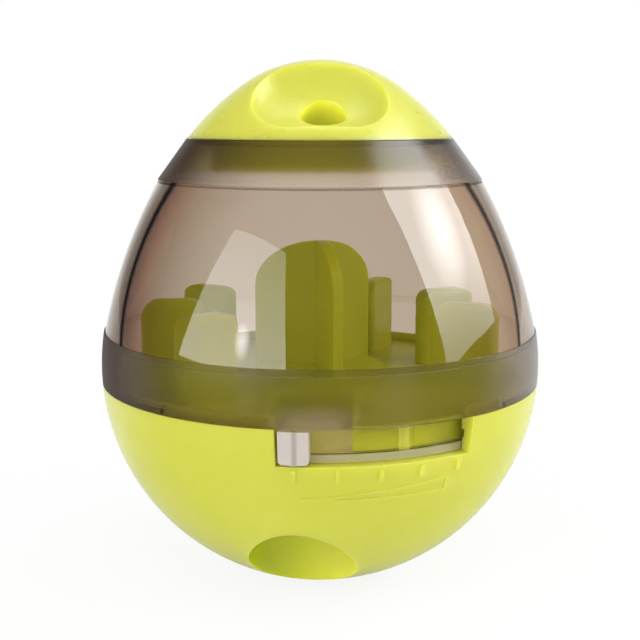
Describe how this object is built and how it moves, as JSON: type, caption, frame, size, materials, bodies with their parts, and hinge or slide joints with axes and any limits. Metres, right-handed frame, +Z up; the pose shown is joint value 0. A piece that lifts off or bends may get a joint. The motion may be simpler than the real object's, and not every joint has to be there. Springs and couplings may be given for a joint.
{
  "type": "wobble treat dispenser",
  "caption": "Egg-shaped weighted pet feeder: see-through dome over a finned tray, sliding gate, chute out of the round base, scooped cap with a filling hole.",
  "frame": {"origin": "centre of the flat foot, on the surface that the object stands on", "axes": "+Z up along the axis of the round body, -Y towards the front with the chute's exit and the gate's window, +X to the right"},
  "size_m": [0.11, 0.11, 0.1297],
  "materials": {
    "lime_shell": "gloss",
    "lime_tray": "satin",
    "smoke_gate": "clear smoky",
    "white_tab": "satin",
    "smoke_dome": "clear smoky, frosted at band and collar",
    "lime_cap": "gloss",
    "iron": "as cast",
    "black_cover": "matte",
    "steel": "zinc plated"
  },
  "bodies": {
    "base": {"lower_shell": "lime_shell", "tray": "lime_tray", "ballast": "iron", "ballast_cover": "black_cover", "cover_screws": "steel"},
    "gate": {"gate": "smoke_gate", "gate_tab": "white_tab"},
    "dome": {"dome": "smoke_dome"},
    "cap": {"cap": "lime_cap"}
  },
  "joints": [
    {"name": "gate_turn", "type": "hinge", "parent": "base", "child": "gate", "pos_m": [0, 0, 0.0435], "axis": [0, 0, 1], "range_deg": [0, 40]},
    {"name": "dome_twist", "type": "hinge", "parent": "base", "child": "dome", "pos_m": [0, 0, 0.051], "axis": [0, 0, 1], "range_deg": [0, 22]},
    {"name": "cap_lift", "type": "slide", "parent": "dome", "child": "cap", "axis": [0, 0, 1], "range_m": [0, 0.03]}
  ]
}
